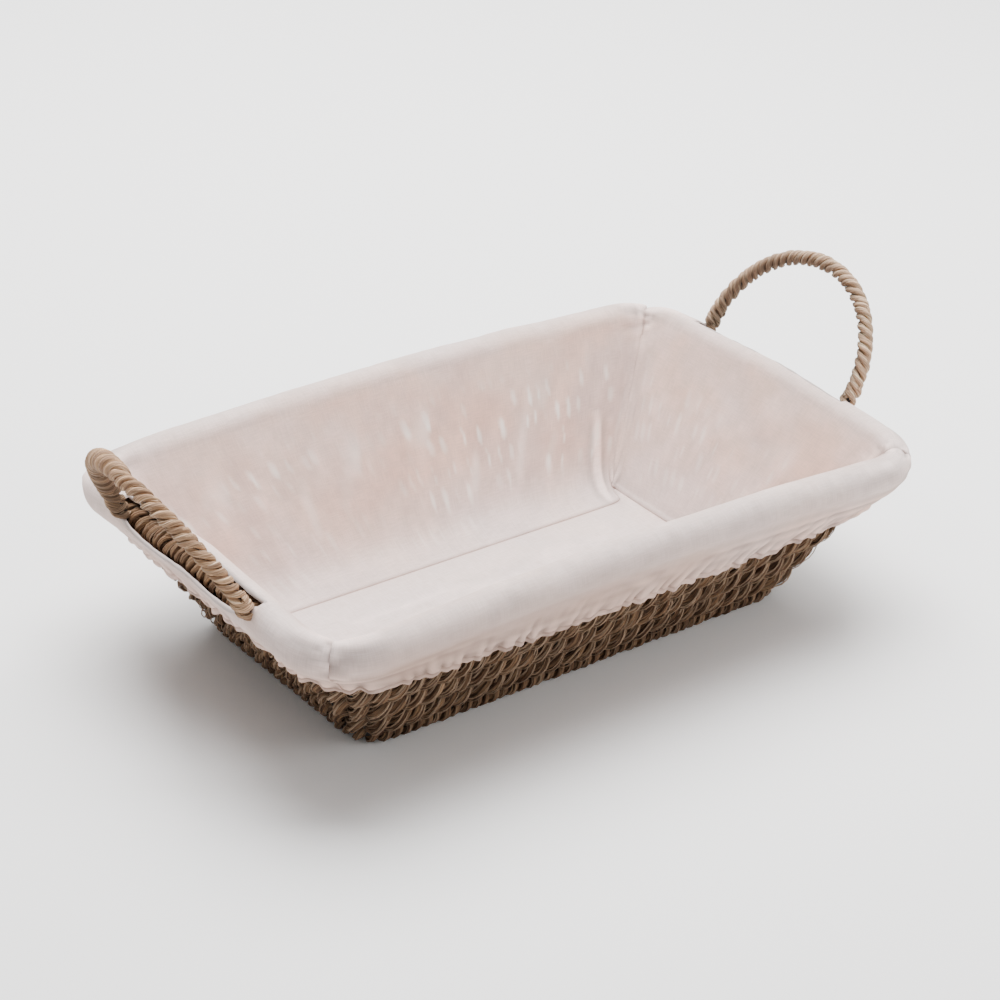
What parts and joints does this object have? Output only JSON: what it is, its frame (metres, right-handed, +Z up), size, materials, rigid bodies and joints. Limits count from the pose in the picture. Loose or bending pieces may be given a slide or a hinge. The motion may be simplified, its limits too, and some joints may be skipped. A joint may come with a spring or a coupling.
{
  "type": "lined bread basket",
  "caption": "Shallow flared seagrass basket on a wire frame with a wrapped arch handle at each end and a fitted cotton liner folded over the rim.",
  "frame": {"origin": "middle of the base, on the surface the basket stands on", "axes": "+X along the basket's length towards the right handle, +Y across it towards the rear, +Z up"},
  "size_m": [0.4484, 0.2314, 0.1433],
  "materials": {
    "seagrass_weave": "matt dried seagrass rope, mid brown",
    "seagrass_wrap": "matt dried seagrass strip, light tan",
    "frame_wire": "dark brown painted iron wire",
    "cotton_cloth": "unbleached plain-weave cotton, ivory",
    "elastic_cord": "covered elastic cord"
  },
  "bodies": {
    "root": {"foot_border": "seagrass_weave", "weave_row_01": "seagrass_weave", "weave_row_02": "seagrass_weave", "weave_row_03": "seagrass_weave", "weave_row_04": "seagrass_weave", "weave_row_05": "seagrass_weave", "base_weave": "seagrass_weave", "rim_braid": "seagrass_weave", "handle_wrap_left": "seagrass_wrap", "handle_wrap_right": "seagrass_wrap", "handle_lashing_left_front": "seagrass_wrap", "handle_lashing_left_rear": "seagrass_wrap", "handle_lashing_right_front": "seagrass_wrap", "handle_lashing_right_rear": "seagrass_wrap", "base_wire": "frame_wire", "rim_wire": "frame_wire", "base_cross_wires": "frame_wire", "handle_core_left": "frame_wire", "handle_core_right": "frame_wire", "rib_wires_front": "frame_wire", "rib_wires_rear": "frame_wire", "rib_wires_left": "frame_wire", "rib_wires_right": "frame_wire", "rib_wires_corner": "frame_wire", "liner_floor": "cotton_cloth", "liner_front": "cotton_cloth", "liner_rear": "cotton_cloth", "liner_left": "cotton_cloth", "liner_right": "cotton_cloth", "liner_hem": "cotton_cloth", "hem_elastic": "elastic_cord"}
  },
  "joints": []
}
